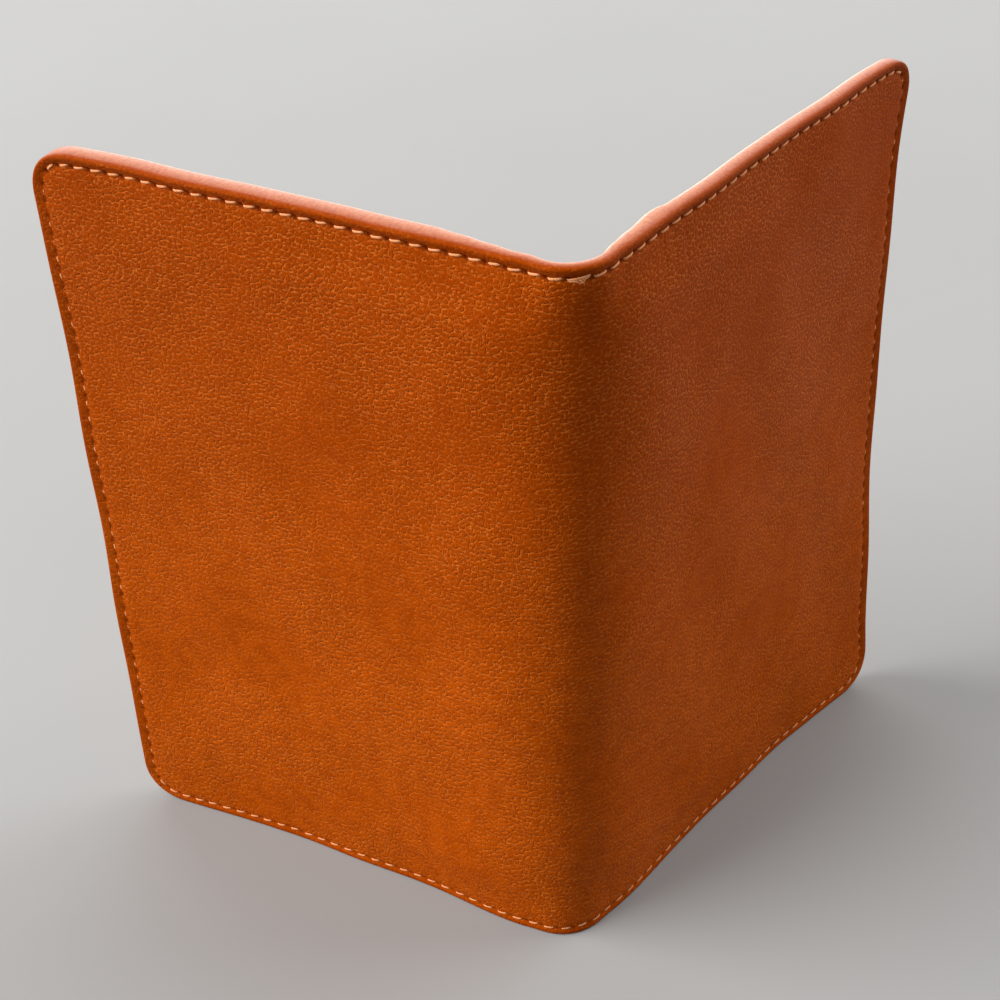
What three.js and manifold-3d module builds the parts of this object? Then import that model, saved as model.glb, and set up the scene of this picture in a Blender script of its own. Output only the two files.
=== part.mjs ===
// Travel document wallet: a leather bifold that stands open on its edge.
// Millimetres, +Z up, the rolled spine toward -Y, the origin under the middle of the footprint.
// The outer leather wraps over the layers inside it and is sewn down as a hem all the way round.

import * as THREE from 'three';
import { mergeVertices } from 'three/addons/utils/BufferGeometryUtils.js';
import Module from 'manifold-3d';

const wasm = await Module();
wasm.setup();

// Cover panels
const COVER_HEIGHT = 145.6;
const PANEL_REACH = 92.2; // from the fold line to the free edge
const CORNER_RADIUS = 9;
const COVER_LEATHER = 0.9;
const RIM_ROUND = 0.95;

// Hem turned in along the top, the free edge and the bottom
const HEM_WIDTH = 8;
const HEM_LEATHER = 0.7;
const HEM_CORNER = 3;
const HEM_CLIMB = 4.5; // length over which the hem rises onto a pocket
const HEM_LEAD = 0.5; // the rise ends this far before the pocket's mouth

// Rolled spine and the two folds beside it
const SPINE_RADIUS = 8;
const SPINE_HALF_TURN = THREE.MathUtils.degToRad(52);
const FOLD_TURN = THREE.MathUtils.degToRad(39); // each panel from the X axis, as it stands
const FOLD_CLEARANCE = 0.1; // between the rolled edge of a panel and its seat in the spine
const FOLD_NOTCH = 0.35; // from the fold line to the spine leather's edge

// Layers inside a panel
const BOARD = 0.3;
const BOARD_START = 3; // from the fold line, so that the fold stays soft
const LINING = 0.2;
const LINING_START = 2;
const LAYER_EDGE = 0.3; // clearance between a layer and the inside of the rim
const GLUE_LINE = 0.06;

// Pockets, each open toward the spine and caught under the hem on its other three sides
const PASSPORT_LEATHER = 0.6;
const PASSPORT_MOUTH = 6; // from the fold line
const SLIP_LEATHER = 0.5;
const SLIP_MOUTH = 8.5;
const SLIP_STEP = 5;
const POCKET_RISE = 0.6; // room under each pocket away from its seam
const POCKET_SLOPE = 8;
const POCKET_CLEAR = 0.4; // between the hem's free edge and the foot of the slope

// Seam
const STITCH_INSET = 2; // from the top and the bottom
const STITCH_END_INSET = 2.2; // from the free edge
const STITCH_CORNER = 5.8;
const THREAD_RADIUS = 0.25;
const GROOVE_CLEARANCE = 0.06;
const THREAD_END = 0.6; // from the fold line, so that the thread clears the fold

// Facets
const CORNER_STEPS = 3;
const FOLD_STEPS = 12;
const RIM_STEPS = 3;
const SLOPE_STEPS = 3;
const SPINE_STEPS = 12;
const THREAD_SIDES = 6;
const BEYOND = 20; // how far a cutting body runs past what it cuts

// Looks
const OUTER_LEATHER = { color: 0xa84c12, roughness: 0.5 };
const INNER_LEATHER = { color: 0xb0601f, roughness: 0.55 };
const LINING_CLOTH = { color: 0xb98a5a, roughness: 0.9 };
const STIFF_BOARD = { color: 0xb9a98c, roughness: 0.95 };
const SEAM_THREAD = { color: 0xe6b48c, roughness: 0.7 };

// Levels through a panel, measured inward from the outer face
const BOARD_LOW = COVER_LEATHER + GLUE_LINE;
const LINING_LOW = BOARD_LOW + BOARD + GLUE_LINE;
const POCKET_LOW = LINING_LOW + LINING + GLUE_LINE;
const AXIS_LEVEL = COVER_LEATHER / 2;
const LAYER_INSET = COVER_LEATHER + LAYER_EDGE;

const PASSPORT_POCKETS = layPockets(['passport_sleeve'], PASSPORT_MOUTH, PASSPORT_LEATHER);
const SLIP_POCKETS = layPockets(['document_sleeve', 'ticket_pocket', 'card_pocket'], SLIP_MOUTH, SLIP_LEATHER);
const THICKER_RIM = Math.max(rimDepth(PASSPORT_POCKETS), rimDepth(SLIP_POCKETS));

// Levels through the spine, as radii about its own axis
const SPINE_INSIDE = SPINE_RADIUS - COVER_LEATHER;
const SPINE_LINING_OUT = SPINE_INSIDE - GLUE_LINE;
const SPINE_LINING_IN = SPINE_LINING_OUT - LINING;
const SPINE_HEM_OUT = SPINE_LINING_IN - GLUE_LINE;
const SPINE_HEM_IN = SPINE_HEM_OUT - HEM_LEATHER;

// Fold lines in plan, with the origin in the middle of the depth
const FOLD_RADIUS = SPINE_RADIUS - AXIS_LEVEL;
const FOLD_X = FOLD_RADIUS * Math.sin(SPINE_HALF_TURN);
const FOLD_BEHIND_NOSE = SPINE_RADIUS - FOLD_RADIUS * Math.cos(SPINE_HALF_TURN);
const PANEL_DEPTH = (PANEL_REACH - RIM_ROUND) * Math.sin(FOLD_TURN)
  + (THICKER_RIM - AXIS_LEVEL - RIM_ROUND) * Math.cos(FOLD_TURN) + RIM_ROUND;
const NOSE_Y = -(FOLD_BEHIND_NOSE + PANEL_DEPTH) / 2;
const FOLD_Y = NOSE_Y + FOLD_BEHIND_NOSE;
const SPINE_CENTRE = new THREE.Vector3(0, NOSE_Y + SPINE_RADIUS, 0);

// Pocket layers of one side, each laid on the one before it.
function layPockets(names, firstMouth, leather) {
  return names.map((name, index) => {
    const low = POCKET_LOW + index * (leather + GLUE_LINE);
    return {
      name,
      mouth: firstMouth + index * SLIP_STEP,
      low,
      high: low + leather,
      rise: (index + 1) * POCKET_RISE,
    };
  });
}

function rimDepth(pockets) {
  return pockets.at(-1).high + GLUE_LINE + HEM_LEATHER;
}

// Underside of the hem from the fold to the free edge: it climbs onto each pocket in turn.
function hemUnderside(pockets) {
  const line = [new THREE.Vector2(-BEYOND, POCKET_LOW)];
  for (const pocket of pockets) {
    const climbed = pocket.mouth - HEM_LEAD;
    line.push(new THREE.Vector2(climbed - HEM_CLIMB, line.at(-1).y));
    line.push(new THREE.Vector2(climbed, pocket.high + GLUE_LINE));
  }
  line.push(new THREE.Vector2(PANEL_REACH + BEYOND, line.at(-1).y));
  return line;
}

function levelAt(line, reach) {
  const after = line.findIndex((point) => point.x > reach);
  const from = line[after - 1];
  const to = line[after];
  return THREE.MathUtils.mapLinear(reach, from.x, to.x, from.y, to.y);
}

// Panel outline in reach and height, square toward the fold and round at the free corners.
function panelOutline(inset, start, radius, endInset = inset) {
  const edge = PANEL_REACH - endInset;
  const top = COVER_HEIGHT - inset;
  const outline = new THREE.Shape();
  outline.moveTo(start, inset);
  outline.lineTo(edge - radius, inset);
  outline.absarc(edge - radius, inset + radius, radius, -Math.PI / 2, 0);
  outline.lineTo(edge, top - radius);
  outline.absarc(edge - radius, top - radius, radius, 0, Math.PI / 2);
  outline.lineTo(start, top);
  outline.closePath();
  return outline;
}

// Turns a shape drawn in reach and height so that its depth runs through the panel.
function throughPanel(geometry, high) {
  geometry.rotateX(Math.PI / 2);
  geometry.translate(0, high, 0);
  return geometry;
}

function plate(outline, low, high) {
  const settings = { depth: high - low, bevelEnabled: false, curveSegments: CORNER_STEPS };
  return throughPanel(new THREE.ExtrudeGeometry(outline, settings), high);
}

function roundedPlate(outline, thickness) {
  const round = Math.min(RIM_ROUND, thickness / 2 - GLUE_LINE);
  const settings = {
    depth: thickness - 2 * round,
    bevelThickness: round,
    bevelSize: round,
    bevelOffset: -round,
    bevelSegments: RIM_STEPS,
    curveSegments: CORNER_STEPS,
  };
  return throughPanel(new THREE.ExtrudeGeometry(outline, settings), thickness - round);
}

// A low cushion about one level, steep at its foot and flat across its middle.
function crown(outline, level, rise) {
  const settings = {
    depth: GLUE_LINE,
    bevelThickness: rise,
    bevelSize: POCKET_SLOPE,
    bevelOffset: -POCKET_SLOPE,
    bevelSegments: SLOPE_STEPS,
    curveSegments: CORNER_STEPS,
  };
  return throughPanel(new THREE.ExtrudeGeometry(outline, settings), level);
}

// A plan section in reach and level, drawn past the bottom and the top of the cover.
function upright(points) {
  const settings = { depth: COVER_HEIGHT + 2 * BEYOND, bevelEnabled: false };
  const geometry = new THREE.ExtrudeGeometry(new THREE.Shape(points), settings);
  return geometry.translate(0, 0, -BEYOND);
}

// Carries a closed profile through a row of frames and caps both ends.
function sweep(profile, frames) {
  const count = profile.length;
  const positions = [];
  const indices = [];
  for (const frame of frames) {
    for (const point of profile) {
      const place = frame.origin.clone();
      place.addScaledVector(frame.across, point.x);
      place.addScaledVector(frame.up, point.y);
      positions.push(...place.toArray());
    }
  }
  for (let step = 0; step < frames.length - 1; step += 1) {
    const near = step * count;
    const far = near + count;
    for (let corner = 0; corner < count; corner += 1) {
      const next = (corner + 1) % count;
      indices.push(near + corner, near + next, far + next);
      indices.push(near + corner, far + next, far + corner);
    }
  }
  const last = (frames.length - 1) * count;
  for (const [a, b, c] of THREE.ShapeUtils.triangulateShape(profile, [])) {
    indices.push(c, b, a);
    indices.push(last + a, last + b, last + c);
  }
  const geometry = new THREE.BufferGeometry();
  geometry.setAttribute('position', new THREE.Float32BufferAttribute(positions, 3));
  geometry.setIndex(indices);
  return geometry;
}

function solid(geometry) {
  geometry.deleteAttribute('normal');
  geometry.deleteAttribute('uv');
  const merged = mergeVertices(geometry);
  const vertProperties = new Float32Array(merged.attributes.position.array);
  const triVerts = new Uint32Array(merged.index.array);
  return new wasm.Manifold(new wasm.Mesh({ numProp: 3, vertProperties, triVerts }));
}

function geometryOf(body) {
  const result = body.getMesh();
  const geometry = new THREE.BufferGeometry();
  geometry.setAttribute('position', new THREE.Float32BufferAttribute(result.vertProperties, 3));
  geometry.setIndex(Array.from(result.triVerts));
  return geometry;
}

function makeMesh(name, geometry, look) {
  geometry.computeVertexNormals();
  const mesh = new THREE.Mesh(geometry, new THREE.MeshStandardMaterial({ ...look, metalness: 0 }));
  mesh.name = name;
  return mesh;
}

// Thread of one radius along a path whose points each know the face they lie on.
function threadAlong(path, radius) {
  const profile = [];
  for (let side = 0; side < THREAD_SIDES; side += 1) {
    const angle = (side / THREAD_SIDES) * 2 * Math.PI;
    profile.push(new THREE.Vector2(radius * Math.cos(angle), radius * Math.sin(angle)));
  }
  const frames = path.map((station, index) => {
    const before = path[Math.max(index - 1, 0)].place;
    const after = path[Math.min(index + 1, path.length - 1)].place;
    const travel = after.clone().sub(before).normalize();
    const up = travel.clone().cross(station.normal).normalize();
    return { origin: station.place, across: up.clone().cross(travel), up };
  });
  return sweep(profile, frames);
}

// Seam round a panel: along the bottom, up the free edge and back along the top.
function panelSeam(start, line, normal) {
  const edge = panelOutline(STITCH_INSET, start, STITCH_CORNER, STITCH_END_INSET);
  const corners = edge.getPoints(CORNER_STEPS).slice(0, -1);
  const bends = line.map((point) => point.x).filter((reach) => reach > start && reach < PANEL_REACH);
  const below = bends.map((reach) => new THREE.Vector2(reach, STITCH_INSET));
  const above = bends.map((reach) => new THREE.Vector2(reach, COVER_HEIGHT - STITCH_INSET)).reverse();
  const route = [corners[0], ...below, ...corners.slice(1, -1), ...above, corners.at(-1)];
  return route.map((point) => ({
    place: new THREE.Vector3(point.x, levelAt(line, point.x), point.y),
    normal,
  }));
}

// Seam across the spine at one height, ending short of both folds.
function spineSeam(radius, height, end) {
  const half = SPINE_HALF_TURN - end / FOLD_RADIUS;
  const path = [];
  for (let step = 0; step <= SPINE_STEPS; step += 1) {
    const normal = spineOutward(THREE.MathUtils.lerp(half, -half, step / SPINE_STEPS));
    const place = SPINE_CENTRE.clone().addScaledVector(normal, radius);
    place.z = height;
    path.push({ place, normal });
  }
  return path;
}

function spineOutward(angle) {
  return new THREE.Vector3(Math.sin(angle), -Math.cos(angle), 0);
}

// Frames round the spine's axis that carry a profile drawn in radius and height.
function spineFrames(end) {
  const half = SPINE_HALF_TURN - end / FOLD_RADIUS;
  const frames = [];
  for (let step = 0; step <= SPINE_STEPS; step += 1) {
    const across = spineOutward(THREE.MathUtils.lerp(half, -half, step / SPINE_STEPS));
    frames.push({ origin: SPINE_CENTRE, across, up: new THREE.Vector3(0, 0, 1) });
  }
  return frames;
}

// Both faces of a panel's seam: the needle thread outside and the bobbin thread on the hem.
function panelSeams(pockets, start) {
  const face = [new THREE.Vector2(-BEYOND, 0), new THREE.Vector2(PANEL_REACH + BEYOND, 0)];
  const hem = hemUnderside(pockets).map((point) => new THREE.Vector2(point.x, point.y + HEM_LEATHER));
  return {
    needle: panelSeam(start, face, new THREE.Vector3(0, -1, 0)),
    bobbin: panelSeam(start + setBack(hem[0].y), hem, new THREE.Vector3(0, 1, 0)),
  };
}

// How far a level stands back from the fold line, so that the closed cover clears the spine.
function setBack(level) {
  return FOLD_NOTCH + (level - AXIS_LEVEL) / Math.tan(SPINE_HALF_TURN);
}

// Everything beyond a panel's edge at the fold, where the face leather is rolled about the fold line.
function pastFold(outside) {
  const section = new THREE.Path();
  section.moveTo(-BEYOND, -BEYOND);
  section.lineTo(0, -BEYOND);
  section.lineTo(0, 0);
  section.absarc(0, AXIS_LEVEL, AXIS_LEVEL, -Math.PI / 2, -1.5 * Math.PI, true);
  section.lineTo(setBack(COVER_LEATHER), COVER_LEATHER);
  section.lineTo(setBack(outside), outside);
  section.lineTo(-BEYOND, outside);
  return section.getPoints(FOLD_STEPS / 2);
}

// Cover panel: a face of leather with a round rim and its edge turned in as a hem.
function coverPanel(pockets) {
  const underside = hemUnderside(pockets);
  const depth = rimDepth(pockets);
  const outside = depth + BEYOND;
  const hemTop = underside.map((point) => new THREE.Vector2(point.x, point.y + HEM_LEATHER));
  const aboveHem = [
    ...hemTop,
    new THREE.Vector2(PANEL_REACH + BEYOND, outside),
    new THREE.Vector2(-BEYOND, outside),
  ];
  const belowHem = [
    ...underside,
    new THREE.Vector2(PANEL_REACH + BEYOND, COVER_LEATHER),
    new THREE.Vector2(-BEYOND, COVER_LEATHER),
  ];
  const insideRim = panelOutline(COVER_LEATHER, -BEYOND, CORNER_RADIUS - COVER_LEATHER);
  const channel = solid(plate(insideRim, COVER_LEATHER, outside)).intersect(solid(upright(belowHem)));
  const window = solid(plate(panelOutline(HEM_WIDTH, -BEYOND, HEM_CORNER), COVER_LEATHER, outside));
  const grooves = panelSeams(pockets, -AXIS_LEVEL);
  const body = solid(roundedPlate(panelOutline(0, -BEYOND, CORNER_RADIUS), depth))
    .subtract(solid(upright(aboveHem)))
    .subtract(channel)
    .subtract(window)
    .subtract(solid(upright(pastFold(outside))))
    .subtract(solid(threadAlong(grooves.needle, THREAD_RADIUS + GROOVE_CLEARANCE)))
    .subtract(solid(threadAlong(grooves.bobbin, THREAD_RADIUS + GROOVE_CLEARANCE)));
  return geometryOf(body);
}

// Flat layer glued inside a panel.
function layer(low, thickness, start) {
  const outline = panelOutline(LAYER_INSET, start, CORNER_RADIUS - LAYER_INSET);
  return plate(outline, low, low + thickness);
}

// Pocket panel: flat where the hem catches it, raised inside, and open at its mouth.
function pocketPanel(pocket) {
  const thickness = pocket.high - pocket.low;
  const foot = HEM_WIDTH + POCKET_CLEAR;
  const raised = panelOutline(foot, -BEYOND, HEM_CORNER + POCKET_SLOPE);
  const beforeMouth = [
    new THREE.Vector2(-2 * BEYOND, -BEYOND),
    new THREE.Vector2(pocket.mouth, -BEYOND),
    new THREE.Vector2(pocket.mouth, BEYOND),
    new THREE.Vector2(-2 * BEYOND, BEYOND),
  ];
  const body = solid(layer(pocket.low, thickness, pocket.mouth))
    .add(solid(crown(raised, pocket.high, pocket.rise)))
    .subtract(solid(crown(raised, pocket.low, pocket.rise)))
    .subtract(solid(upright(beforeMouth)));
  return geometryOf(body);
}

// Every piece of one panel, named after its side.
function panelMeshes(side, pockets) {
  const seams = panelSeams(pockets, THREAD_END);
  return [
    makeMesh(`${side}_cover`, coverPanel(pockets), OUTER_LEATHER),
    makeMesh(`${side}_board`, layer(BOARD_LOW, BOARD, BOARD_START), STIFF_BOARD),
    makeMesh(`${side}_lining`, layer(LINING_LOW, LINING, LINING_START), LINING_CLOTH),
    ...pockets.map((pocket) => makeMesh(pocket.name, pocketPanel(pocket), INNER_LEATHER)),
    makeMesh(`${side}_needle_thread`, threadAlong(seams.needle, THREAD_RADIUS), SEAM_THREAD),
    makeMesh(`${side}_bobbin_thread`, threadAlong(seams.bobbin, THREAD_RADIUS), SEAM_THREAD),
  ];
}

// A panel turned to its standing angle on the fold; the back panel is the mirrored hand.
function placedPanel(meshes, hand) {
  const layers = new THREE.Group();
  layers.position.y = -AXIS_LEVEL;
  layers.add(...meshes);
  const panel = new THREE.Group();
  panel.position.set(FOLD_X, FOLD_Y, 0);
  panel.rotation.z = FOLD_TURN;
  panel.add(layers);
  const handed = new THREE.Group();
  handed.scale.x = hand;
  handed.add(panel);
  return handed;
}

// Spine leather in radius and height: a face, two round rims and the hems turned in at both ends.
function spineCoverProfile() {
  const round = Math.min(RIM_ROUND, (SPINE_RADIUS - SPINE_HEM_IN) / 2 - GLUE_LINE);
  const top = COVER_HEIGHT;
  const profile = new THREE.Shape();
  profile.moveTo(SPINE_RADIUS, round);
  profile.lineTo(SPINE_RADIUS, top - round);
  profile.absarc(SPINE_RADIUS - round, top - round, round, 0, Math.PI / 2);
  profile.lineTo(SPINE_HEM_IN + round, top);
  profile.absarc(SPINE_HEM_IN + round, top - round, round, Math.PI / 2, Math.PI);
  profile.lineTo(SPINE_HEM_IN, top - HEM_WIDTH);
  profile.lineTo(SPINE_HEM_OUT, top - HEM_WIDTH);
  profile.lineTo(SPINE_HEM_OUT, top - COVER_LEATHER);
  profile.lineTo(SPINE_INSIDE, top - COVER_LEATHER);
  profile.lineTo(SPINE_INSIDE, COVER_LEATHER);
  profile.lineTo(SPINE_HEM_OUT, COVER_LEATHER);
  profile.lineTo(SPINE_HEM_OUT, HEM_WIDTH);
  profile.lineTo(SPINE_HEM_IN, HEM_WIDTH);
  profile.lineTo(SPINE_HEM_IN, round);
  profile.absarc(SPINE_HEM_IN + round, round, round, Math.PI, 1.5 * Math.PI);
  profile.lineTo(SPINE_RADIUS - round, 0);
  profile.absarc(SPINE_RADIUS - round, round, round, 1.5 * Math.PI, 2 * Math.PI);
  return profile.getPoints(RIM_STEPS).slice(0, -1);
}

function spineLiningProfile() {
  const top = COVER_HEIGHT - LAYER_INSET;
  return [
    new THREE.Vector2(SPINE_LINING_IN, LAYER_INSET),
    new THREE.Vector2(SPINE_LINING_OUT, LAYER_INSET),
    new THREE.Vector2(SPINE_LINING_OUT, top),
    new THREE.Vector2(SPINE_LINING_IN, top),
  ];
}

// Round hollow in the spine's edge that the rolled edge of a panel turns in.
function foldSeat(side) {
  const radius = AXIS_LEVEL + FOLD_CLEARANCE;
  const seat = new THREE.CylinderGeometry(radius, radius, COVER_HEIGHT + 2 * BEYOND, FOLD_STEPS);
  seat.rotateX(Math.PI / 2);
  return seat.translate(side * FOLD_X, FOLD_Y, COVER_HEIGHT / 2);
}

// The spine's four seams: needle and bobbin thread at the top and at the bottom.
function spineSeams() {
  const heights = { top: COVER_HEIGHT - STITCH_INSET, bottom: STITCH_INSET };
  const faces = { needle: SPINE_RADIUS, bobbin: SPINE_HEM_IN };
  return Object.entries(heights).flatMap(([end, height]) => (
    Object.entries(faces).map(([thread, radius]) => ({
      name: `spine_${thread}_thread_${end}`,
      radius,
      height,
    }))
  ));
}

function spineMeshes() {
  const seams = spineSeams();
  let cover = solid(sweep(spineCoverProfile(), spineFrames(FOLD_NOTCH)));
  for (const side of [-1, 1]) {
    cover = cover.subtract(solid(foldSeat(side)));
  }
  for (const seam of seams) {
    const groove = spineSeam(seam.radius, seam.height, -FOLD_NOTCH);
    cover = cover.subtract(solid(threadAlong(groove, THREAD_RADIUS + GROOVE_CLEARANCE)));
  }
  return [
    makeMesh('spine_cover', geometryOf(cover), OUTER_LEATHER),
    makeMesh('spine_lining', sweep(spineLiningProfile(), spineFrames(THREAD_END)), LINING_CLOTH),
    ...seams.map((seam) => {
      const path = spineSeam(seam.radius, seam.height, THREAD_END);
      return makeMesh(seam.name, threadAlong(path, THREAD_RADIUS), SEAM_THREAD);
    }),
  ];
}

const wallet = new THREE.Group();
wallet.name = 'travel_document_wallet';
wallet.add(...spineMeshes());
wallet.add(placedPanel(panelMeshes('front', PASSPORT_POCKETS), 1));
wallet.add(placedPanel(panelMeshes('back', SLIP_POCKETS), -1));

export default wallet;
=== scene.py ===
"""A travel document wallet in tan leather, standing open on its lower edge with its spine forward.

The hide is laid out flat first, as distance round the cover from the spine, depth below its face and
height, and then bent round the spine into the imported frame. Lengths are millimetres until a mesh is made.
"""

import math

import bpy
import numpy as np
from mathutils import Matrix, Vector


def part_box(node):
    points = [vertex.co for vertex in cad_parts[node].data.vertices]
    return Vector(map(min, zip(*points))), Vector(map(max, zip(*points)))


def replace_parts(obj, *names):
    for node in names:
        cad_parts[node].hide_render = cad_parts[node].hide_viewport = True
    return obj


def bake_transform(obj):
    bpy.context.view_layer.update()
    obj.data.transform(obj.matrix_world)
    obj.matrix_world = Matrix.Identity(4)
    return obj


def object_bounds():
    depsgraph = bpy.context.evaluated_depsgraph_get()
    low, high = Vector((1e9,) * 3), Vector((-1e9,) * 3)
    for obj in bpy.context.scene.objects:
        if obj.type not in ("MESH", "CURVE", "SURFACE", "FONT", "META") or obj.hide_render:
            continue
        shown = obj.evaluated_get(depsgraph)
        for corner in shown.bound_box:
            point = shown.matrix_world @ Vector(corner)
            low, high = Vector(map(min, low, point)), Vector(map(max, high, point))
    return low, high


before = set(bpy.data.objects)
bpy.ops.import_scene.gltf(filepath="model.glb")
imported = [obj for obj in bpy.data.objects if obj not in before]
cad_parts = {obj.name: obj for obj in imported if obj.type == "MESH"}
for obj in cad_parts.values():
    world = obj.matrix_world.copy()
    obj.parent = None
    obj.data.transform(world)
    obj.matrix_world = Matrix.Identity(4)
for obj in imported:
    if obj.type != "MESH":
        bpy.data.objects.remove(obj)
cad_low, cad_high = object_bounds()

MM = 0.001
FRONT, BACK = 1.0, -1.0
BODY = {FRONT: "front", BACK: "back"}

# Cover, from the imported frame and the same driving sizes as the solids
COVER_HEIGHT = (cad_high.z - cad_low.z) / MM
NOSE_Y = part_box("spine_cover")[0].y / MM
PANEL_REACH = 92.2
CORNER_RADIUS = 9.0
COVER_LEATHER = 0.9
HEM_LEATHER = 0.7
SPINE_RADIUS = 8.0
SPINE_HALF_TURN = math.radians(52)
FOLD_TURN = math.radians(39)
FOLD_EASE = 4.0

# The bent line half way through the leather, and the lengths along it
BEND_RADIUS = SPINE_RADIUS - COVER_LEATHER / 2
FOLD_X = BEND_RADIUS * math.sin(SPINE_HALF_TURN)
FOLD_Y = NOSE_Y + SPINE_RADIUS - BEND_RADIUS * math.cos(SPINE_HALF_TURN)
FOLD_AT = BEND_RADIUS * SPINE_HALF_TURN
EDGE_AT = FOLD_AT + PANEL_REACH
BLEND_BEFORE = 4.0
BLEND_AFTER = 5.0
PROBE = 0.01

# How each panel curls: lean at the free edge, bow across, and how both change with height
CURL = {
    FRONT: {"lean": -3.13, "twist": 4.26, "bow": 0.42, "bow_twist": 0.21, "hollow": 2.55, "crown": 0.28},
    BACK: {"lean": -0.75, "twist": 2.3, "bow": 1.38, "bow_twist": -0.25, "hollow": 1.82, "crown": 0.25},
}

# How far the seam has drawn in the lower free corner, and the height below which it does
DRAWN_IN, DRAWN_BELOW = {FRONT: 0.0, BACK: 1.4}, 55.0

# Unevenness left by use: waves as their turn across, turn up and phase, and puckers by the spine's head
HANDLING = 0.14
LONG_WAVES = [(0.19, 0.11, 1.1), (0.083, -0.171, 2.3)]
SHORT_WAVE, SHORT_WAVE_SHARE = (0.31, -0.06, 0.4), 0.6
SHORT_WAVE_SWELL = (0.12, 0.5)
PUCKER = {"at": 14.0, "below": 6.0, "reach": 5.0, "pitch": 3.3, "rise": 0.1}

# Between the firm hems at head and foot the spine relaxes into a wider bend and draws back a little
RELAXED_TURN, RELAXED_SPAN, RELAXED_BACK = math.radians(39.5), 6.5, 1.0
RELAXED_SPARE, RELAXED_SAMPLES = 1.0, 4001
HEM_HOLD, HEM_RELEASE, FOOT_HOLD = 2.0, 12.0, 0.5

# Layers, as depth below the outer face
BOARD_LEVEL, BOARD, BOARD_START, BOARD_INSET = 0.96, 0.3, 3.0, 5.0
SPINE_LINING_LEVEL, PANEL_LINING_LEVEL, LINING = 0.96, 1.32, 0.2
SEWN_INSET = 4.0
POCKET_RAISED_FROM, POCKET_SLOPE = 8.4, 8.0
POCKETS = {
    "passport_sleeve": {"hand": FRONT, "mouth": 6.0, "level": 1.58, "thickness": 0.6, "rise": 0.6},
    "document_sleeve": {"hand": BACK, "mouth": 8.5, "level": 1.58, "thickness": 0.5, "rise": 0.6},
    "ticket_pocket": {"hand": BACK, "mouth": 13.5, "level": 2.14, "thickness": 0.5, "rise": 1.2},
    "card_pocket": {"hand": BACK, "mouth": 18.5, "level": 2.70, "thickness": 0.5, "rise": 1.8},
}
MOUTH_GAPE, GAPE_REACH = 0.35, 9.0
MOUTH_CREASE, CREASE_DEPTH, CREASE_WIDTH = 2.4, 0.13, 0.28
MOUTH_WORN = 0.5
GRAIN_SHIFT = 40.0
GLUE_LINE = 0.06

# Rim: its thickness at the spine and past the fold, its climb onto each pocket, and one thick turned mouth
SPINE_RIM, FOLD_RIM = 1.92, 2.28
FOLD_RIM_LEAD, FOLD_RIM_SPAN = 1.0, 2.5
HEM_CLIMB, HEM_LEAD = 4.5, 0.5
TURNED_MOUTH = {"rise": 0.6, "from": 6.0, "full": 13.0, "to": 14.0, "gone": 17.0}

# Stitching
STITCH_INSET, STITCH_FOOT_INSET, STITCH_END_INSET = 2.0, 1.65, 2.2
CELLS_PER_STITCH = 4
HAIR = 1e-6
RUN_CELLS, CORNER_CELLS, SIDE_CELLS = 110, 16, 158
NOSE_CELL = 0.1
CORNER_POWER, SEAM_CORNER_POWER = 2.3, 2.2
THREAD_RADIUS, THREAD_FLATNESS = 0.21, 0.42
THREAD_SIDES, THREAD_RINGS = 10, 11
STITCH_SLANT = 0.22
HOLE_DEPTH = 0.42
STITCH_SHARE, UPRIGHT_SHARE = 0.72, 0.44
STITCH_SUNK, STITCH_RISE, UPRIGHT_RISE = 0.5, 0.5, 0.4
STITCH_SQUARE = 4
BOBBIN_PROUD = 0.07
UPRIGHT_THIN = 0.7
END_RADIUS, CROWN_RADIUS = 0.8, 0.2
JITTER = {"along": 0.06, "rise": 0.05, "inset": 0.04}

# The tie at the head of the spine, and its loose fibres as start, reach and drop
TIE_REACH, TIE_PARTING, TIE_SLANT, TIE_CLOSED = 1.75, 0.18, 0.28, 0.35
TIE_RISE, TIE_STAGGER = 0.55, 0.05
TIE_END_RADIUS, TIE_CROWN_RADIUS = 0.75, 0.1
TIE_POINTS = 15
TIE_FIBRES = [(-0.7, 1.1, 0.5), (0.6, -0.9, 0.7), (0.0, 0.8, 1.0)]
FIBRE_RADIUS, FIBRE_TAPER, FIBRE_POINTS = 0.06, 0.5, 9
FIBRE_SWAY, FIBRE_TURN, FIBRE_PHASE = 0.15, 5.0, 3.0
FIBRE_LIFT, FIBRE_ARCH, FIBRE_LANDS = 0.05, 0.28, 1.15

rng = np.random.default_rng(148)


# The flat hide and its bend
def smooth(t):
    """An even rise from 0 to 1 as t does, level at both ends."""
    t = np.clip(t, 0.0, 1.0)
    return t * t * (3.0 - 2.0 * t)


def tight(s):
    """Plan position of the leather's middle at the sewn head and foot, s along it from the nose."""
    turn = s / BEND_RADIUS
    arc = np.stack([BEND_RADIUS * np.sin(turn), NOSE_Y + SPINE_RADIUS - BEND_RADIUS * np.cos(turn)])
    ahead = s - FOLD_AT
    line = np.stack([FOLD_X + ahead * math.cos(FOLD_TURN), FOLD_Y + ahead * math.sin(FOLD_TURN)])
    share = smooth((ahead + FOLD_EASE) / (2.0 * FOLD_EASE))
    return arc * (1.0 - share) + line * share


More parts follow.
